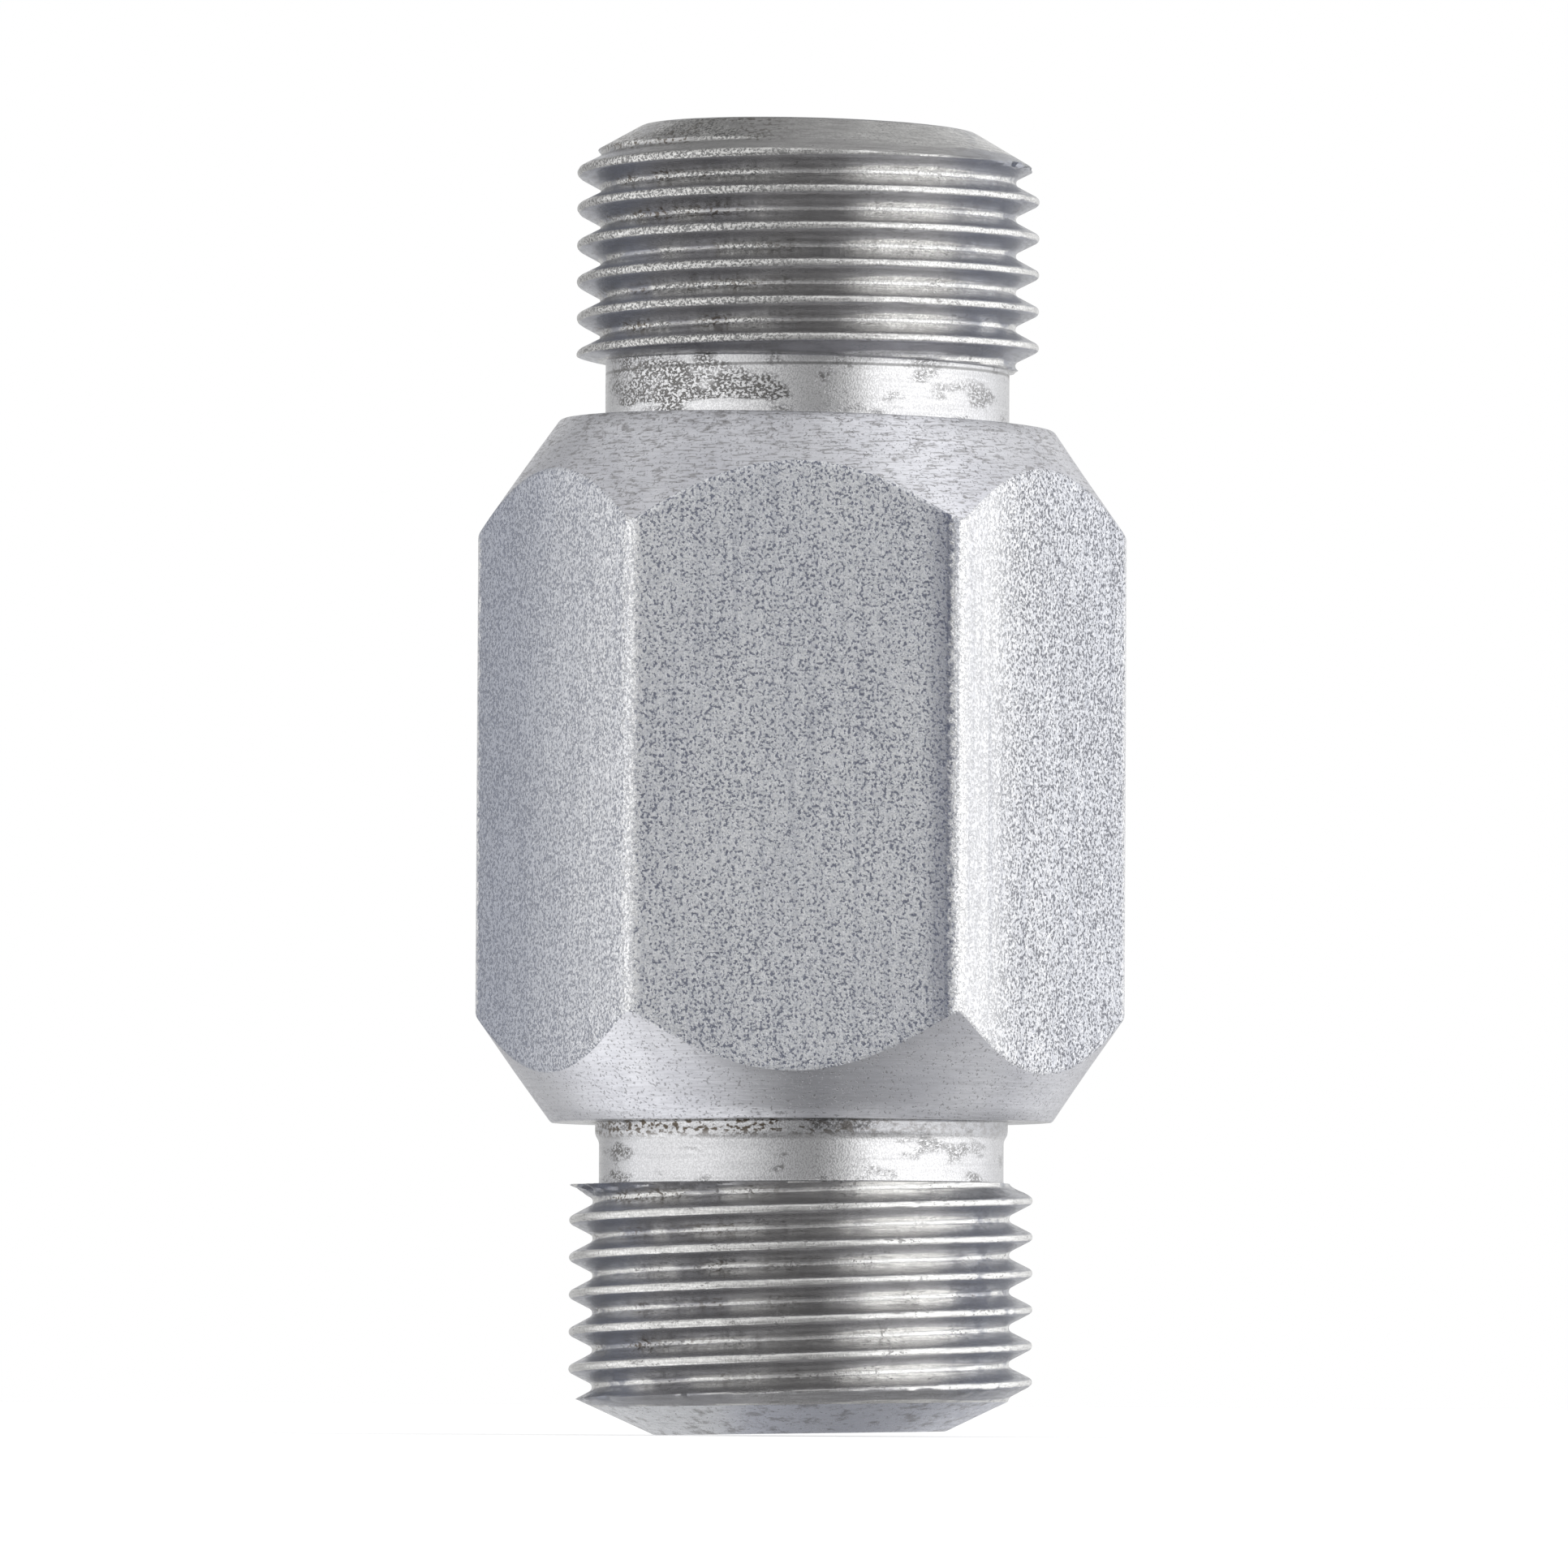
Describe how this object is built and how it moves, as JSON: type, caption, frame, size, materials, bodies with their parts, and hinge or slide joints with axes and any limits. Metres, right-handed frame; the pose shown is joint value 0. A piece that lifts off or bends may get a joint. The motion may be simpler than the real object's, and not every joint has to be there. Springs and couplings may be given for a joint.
{
  "type": "carbon dioxide diffuser",
  "caption": "Inline gas diffuser: hexagonal steel housing threaded at both ends, with an inlet filter, a spring-loaded check valve and a clamped porous disc inside.",
  "frame": {"origin": "centre of the inlet end face, which the part stands on", "axes": "+Z along the bore with the flow, from inlet to outlet; one pair of hexagon flats faces -Y and +Y"},
  "size_m": [0.032, 0.028, 0.0645],
  "materials": {
    "bar_steel": "bare stainless bar, grainy and lightly pitted on the flats, turned elsewhere",
    "turned_steel": "bare stainless, fine turned",
    "spring_steel": "bright drawn stainless wire and strip",
    "sintered_bronze": "matt sintered grains",
    "black_rubber": "smooth moulded nitrile rubber",
    "silicone": "translucent grey moulded silicone rubber",
    "ptfe": "white turned PTFE",
    "porous_ceramic": "unglazed, fine open pores"
  },
  "bodies": {
    "housing": {"housing": "bar_steel", "filter_circlip": "spring_steel", "inlet_filter": "sintered_bronze", "filter_gasket": "ptfe", "valve_seat": "turned_steel", "seat_oring": "black_rubber", "valve_spring": "spring_steel", "valve_cage": "turned_steel", "guide_bush": "ptfe", "wave_washer": "spring_steel", "spacer_sleeve": "turned_steel", "support_plate": "turned_steel", "rear_gasket": "silicone", "diffuser_disc": "porous_ceramic", "front_gasket": "silicone", "slip_washer": "ptfe", "retaining_ring": "turned_steel"},
    "poppet": {"poppet": "turned_steel", "poppet_seal": "black_rubber", "seal_screw": "turned_steel"}
  },
  "joints": [
    {"name": "poppet_lift", "type": "slide", "parent": "housing", "child": "poppet", "axis": [0, 0, 1], "range_m": [0, 0.0025], "stiffness_N_per_m": 330, "springref_m": -0.0018, "deforming": ["valve_spring"]}
  ]
}
